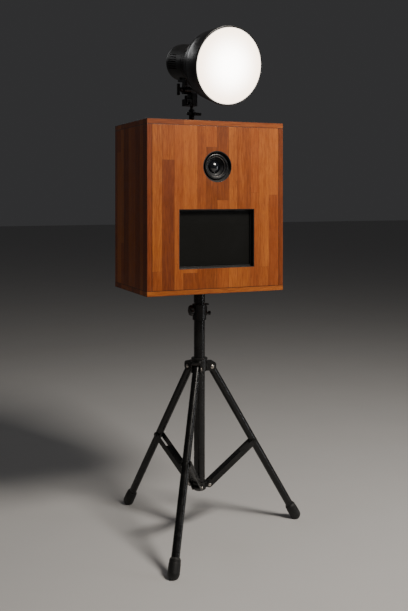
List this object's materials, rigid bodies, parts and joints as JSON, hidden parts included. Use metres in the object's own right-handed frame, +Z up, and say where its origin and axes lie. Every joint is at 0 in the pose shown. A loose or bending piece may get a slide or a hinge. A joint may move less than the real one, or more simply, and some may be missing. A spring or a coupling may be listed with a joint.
{
  "type": "photo booth",
  "caption": "Wooden photo booth cabinet with a camera port and screen on a folding tripod stand, with a tilting studio lamp on top.",
  "frame": {"origin": "on the floor, on the axis of the mast, at the centre of the three feet", "axes": "+Z up along the mast; the booth front faces -Y; +X is to the right of a viewer who looks along +Y"},
  "size_m": [0.6587, 0.6958, 1.8116],
  "materials": {
    "black_powder_coat": "satin powder coat",
    "black_casting": "moulded, fine texture",
    "knob_plastic": "matt moulded",
    "nylon": "smooth",
    "rubber_black": "matt",
    "zinc_steel": "zinc plated",
    "varnished_wood": "satin varnish over glued staves",
    "shelf_wood": "satin varnish",
    "black_trim": "matt",
    "monitor_plastic": "fine texture",
    "screen_glass": "dark and glossy",
    "camera_plastic": "fine leather grain",
    "lens_metal": "satin black",
    "lens_glass": "coated",
    "lens_rubber": "ribbed",
    "strip_plastic": "smooth",
    "lamp_paint": "satin black",
    "reflector_paint": "satin black outside",
    "diffuser_frost": "frosted, lit from behind",
    "led_board": "matt"
  },
  "bodies": {
    "stand": {"main_tube": "black_powder_coat", "lower_hub": "black_casting", "lower_hub_pins": "zinc_steel", "clamp_collar": "black_casting", "mast_bush": "nylon"},
    "mast_clamp": {"clamp_knob": "knob_plastic"},
    "mast_pin": {"height_pin": "knob_plastic"},
    "hub": {"leg_hub": "black_powder_coat", "hub_bush": "nylon", "leg_pivot_bolts": "zinc_steel"},
    "hub_clamp": {"hub_knob": "knob_plastic"},
    "right_leg": {"leg_right": "black_powder_coat", "foot_right": "rubber_black"},
    "rear_leg": {"leg_rear": "black_powder_coat", "foot_rear": "rubber_black"},
    "front_leg": {"leg_front": "black_powder_coat", "foot_front": "rubber_black"},
    "right_brace": {"brace_right": "black_powder_coat"},
    "rear_brace": {"brace_rear": "black_powder_coat"},
    "front_brace": {"brace_front": "black_powder_coat"},
    "mast": {"inner_mast": "black_powder_coat", "mast_plugs": "nylon"},
    "cabinet": {"pole_socket": "black_powder_coat", "top_board": "varnished_wood", "bottom_board": "varnished_wood", "left_side": "varnished_wood", "right_side": "varnished_wood", "front_panel": "varnished_wood", "cabinet_screws": "zinc_steel", "screen_bezel": "black_trim", "monitor_case": "monitor_plastic", "screen_glass": "screen_glass", "monitor_clips": "zinc_steel", "port_liner": "black_trim", "camera_shelf": "shelf_wood", "camera_body": "camera_plastic", "lens_barrel": "lens_metal", "lens_glass": "lens_glass", "power_strip": "strip_plastic", "mains_inlet": "black_trim", "door_hardware": "zinc_steel", "lamp_post": "lamp_paint", "spigot": "zinc_steel"},
    "zoom": {"zoom_ring": "lens_rubber"},
    "door": {"rear_door": "varnished_wood", "door_leaves": "zinc_steel"},
    "lock": {"door_lock": "zinc_steel"},
    "post_clamp": {"post_knob": "knob_plastic"},
    "bracket": {"bracket_base": "lamp_paint"},
    "umbrella_clamp": {"umbrella_screw": "knob_plastic"},
    "tilt_clamp": {"tilt_lever": "knob_plastic"},
    "lamp": {"tilt_arm": "lamp_paint", "lamp_housing": "lamp_paint", "lamp_rear_panel": "black_trim", "reflector": "reflector_paint", "diffuser": "diffuser_frost", "lamp_led": "led_board"},
    "dial": {"power_dial": "knob_plastic"},
    "switch": {"lamp_switch": "knob_plastic"},
    "ring": {"lock_ring": "black_casting"}
  },
  "joints": [
    {"name": "mast_clamp_turn", "type": "hinge", "parent": "stand", "child": "mast_clamp", "pos_m": [0, 0, 0.806], "axis": [-1, 0, 0], "range_deg": [0, 360]},
    {"name": "height_pin_push", "type": "slide", "parent": "stand", "child": "mast_pin", "axis": [-1, 0, 0], "range_m": [0, 0.008]},
    {"name": "hub_slide", "type": "slide", "parent": "stand", "child": "hub", "axis": [0, 0, 1], "range_m": [0, 0.12782]},
    {"name": "hub_clamp_turn", "type": "hinge", "parent": "hub", "child": "hub_clamp", "pos_m": [0, 0, 0.61129], "axis": [0.5878, 0.809, 0], "range_deg": [0, 360]},
    {"name": "right_leg_fold", "type": "hinge", "parent": "hub", "child": "right_leg", "pos_m": [0.04376, -0.0046, 0.59929], "axis": [0.1045, 0.9945, 0], "range_deg": [0, 28.52]},
    {"name": "rear_leg_fold", "type": "hinge", "parent": "hub", "child": "rear_leg", "pos_m": [-0.0179, 0.0402, 0.59929], "axis": [-0.9135, -0.4067, 0], "range_deg": [0, 28.52]},
    {"name": "front_leg_fold", "type": "hinge", "parent": "hub", "child": "front_leg", "pos_m": [-0.02586, -0.0356, 0.59929], "axis": [0.809, -0.5878, 0], "range_deg": [0, 28.52]},
    {"name": "right_brace_fold", "type": "hinge", "parent": "stand", "child": "right_brace", "pos_m": [0.03381, -0.00355, 0.17], "axis": [0.1045, 0.9945, 0], "range_deg": [-46.42, 0]},
    {"name": "rear_brace_fold", "type": "hinge", "parent": "stand", "child": "rear_brace", "pos_m": [-0.01383, 0.03106, 0.17], "axis": [-0.9135, -0.4067, 0], "range_deg": [-46.42, 0]},
    {"name": "front_brace_fold", "type": "hinge", "parent": "stand", "child": "front_brace", "pos_m": [-0.01998, -0.02751, 0.17], "axis": [0.809, -0.5878, 0], "range_deg": [-46.42, 0]},
    {"name": "mast_slide", "type": "slide", "parent": "stand", "child": "mast", "axis": [0, 0, 1], "range_m": [0, 0.45]},
    {"name": "cabinet_turn", "type": "hinge", "parent": "mast", "child": "cabinet", "pos_m": [0, 0, 0.884], "axis": [0, 0, 1], "continuous": true},
    {"name": "zoom_turn", "type": "hinge", "parent": "cabinet", "child": "zoom", "pos_m": [0, -0.151, 1.325], "axis": [0, -1, 0], "range_deg": [0, 75]},
    {"name": "door_swing", "type": "hinge", "parent": "cabinet", "child": "door", "pos_m": [0.24125, 0.196, 1.184], "axis": [0, 0, 1], "range_deg": [-110, 0]},
    {"name": "lock_turn", "type": "hinge", "parent": "door", "child": "lock", "pos_m": [-0.2125, 0.192, 1.184], "axis": [0, -1, 0], "range_deg": [0, 90]},
    {"name": "post_clamp_turn", "type": "hinge", "parent": "cabinet", "child": "post_clamp", "pos_m": [0, 0.073, 1.527], "axis": [0, -1, 0], "range_deg": [0, 360]},
    {"name": "lamp_pan_turn", "type": "hinge", "parent": "cabinet", "child": "bracket", "pos_m": [0, 0.073, 1.557], "axis": [0, 0, 1], "continuous": true},
    {"name": "umbrella_clamp_turn", "type": "hinge", "parent": "bracket", "child": "umbrella_clamp", "pos_m": [-0.02179, 0.06994, 1.557], "axis": [0, 0, 1], "range_deg": [0, 360]},
    {"name": "tilt_clamp_turn", "type": "hinge", "parent": "bracket", "child": "tilt_clamp", "pos_m": [0, 0.073, 1.617], "axis": [-0.9903, -0.1392, 0], "range_deg": [0, 90]},
    {"name": "lamp_tilt_turn", "type": "hinge", "parent": "bracket", "child": "lamp", "pos_m": [0, 0.073, 1.617], "axis": [0.9903, 0.1392, 0], "range_deg": [-90, 12]},
    {"name": "lock_ring_turn", "type": "hinge", "parent": "lamp", "child": "ring", "pos_m": [0.00516, 0.0363, 1.71201], "axis": [0.1371, -0.9752, -0.1736], "range_deg": [0, 20]},
    {"name": "power_dial_turn", "type": "hinge", "parent": "lamp", "child": "dial", "pos_m": [-0.01126, 0.1531, 1.72265], "axis": [-0.1371, 0.9752, 0.1736], "range_deg": [0, 300]},
    {"name": "lamp_switch_rock", "type": "hinge", "parent": "lamp", "child": "switch", "pos_m": [0.00248, 0.15596, 1.69438], "axis": [0.9903, 0.1392, 0], "range_deg": [-16, 0]}
  ],
  "couplings": [
    {"joint": "right_leg_fold", "follows": "hub_slide", "rad_per_m": 3.8916},
    {"joint": "rear_leg_fold", "follows": "hub_slide", "rad_per_m": 3.8916},
    {"joint": "front_leg_fold", "follows": "hub_slide", "rad_per_m": 3.8916},
    {"joint": "right_brace_fold", "follows": "hub_slide", "rad_per_m": -6.3363},
    {"joint": "rear_brace_fold", "follows": "hub_slide", "rad_per_m": -6.3363},
    {"joint": "front_brace_fold", "follows": "hub_slide", "rad_per_m": -6.3363}
  ]
}
